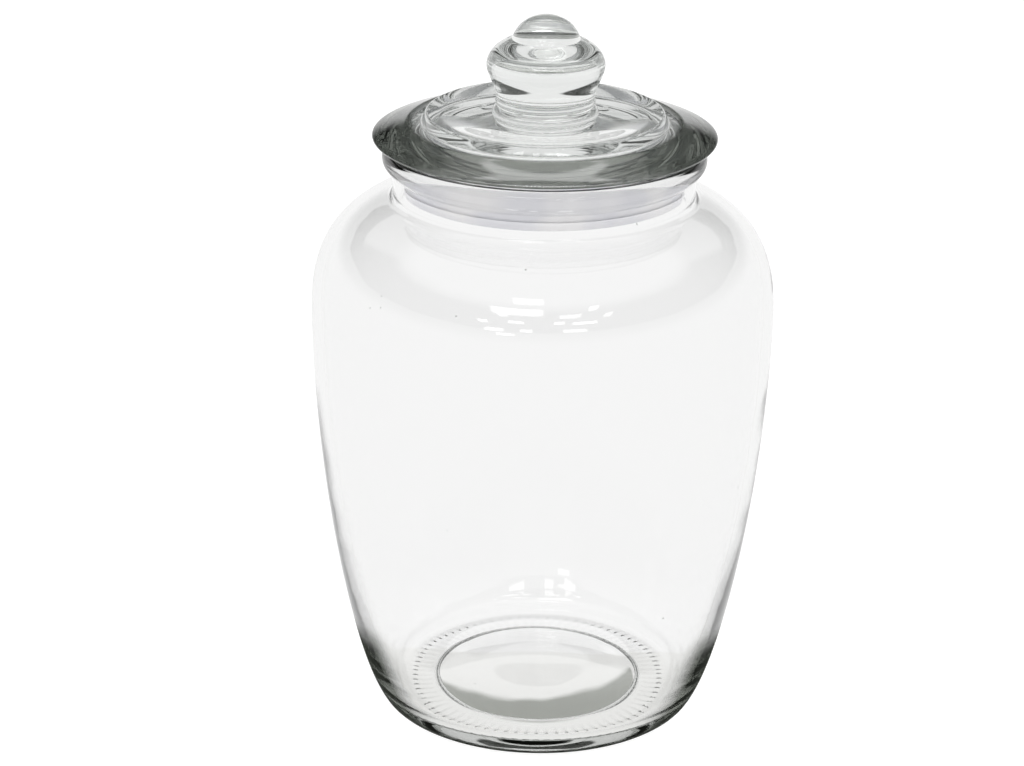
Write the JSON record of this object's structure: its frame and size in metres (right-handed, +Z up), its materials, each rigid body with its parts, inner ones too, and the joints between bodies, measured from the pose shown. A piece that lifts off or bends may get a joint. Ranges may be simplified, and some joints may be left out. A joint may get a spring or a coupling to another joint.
{
  "type": "glass storage jar",
  "caption": "Tall shouldered glass jar with a round neck, closed by a lift-off pressed glass lid with a ball knob and a soft seal ring round its plug.",
  "frame": {"origin": "centre of the flat ring that the jar stands on", "axes": "+Z up the axis that every piece is turned about, through the knob"},
  "size_m": [0.15, 0.15, 0.2353],
  "materials": {
    "jar_glass": "clear blown glass, fire polished, faint grey green where it is thick",
    "lid_glass": "clear pressed glass, thick, grey green at its edges",
    "seal": "soft milky translucent polyethylene"
  },
  "bodies": {
    "jar": {"glass_jar": "jar_glass"},
    "seal": {"seal_ring": "seal"},
    "lid": {"glass_lid": "lid_glass"}
  },
  "joints": [
    {"name": "lid_lift", "type": "slide", "parent": "jar", "child": "seal", "axis": [0, 0, 1], "range_m": [0, 0.1]},
    {"name": "lid_turn", "type": "hinge", "parent": "seal", "child": "lid", "pos_m": [0, 0, 0.1943], "axis": [0, 0, 1], "continuous": true}
  ]
}
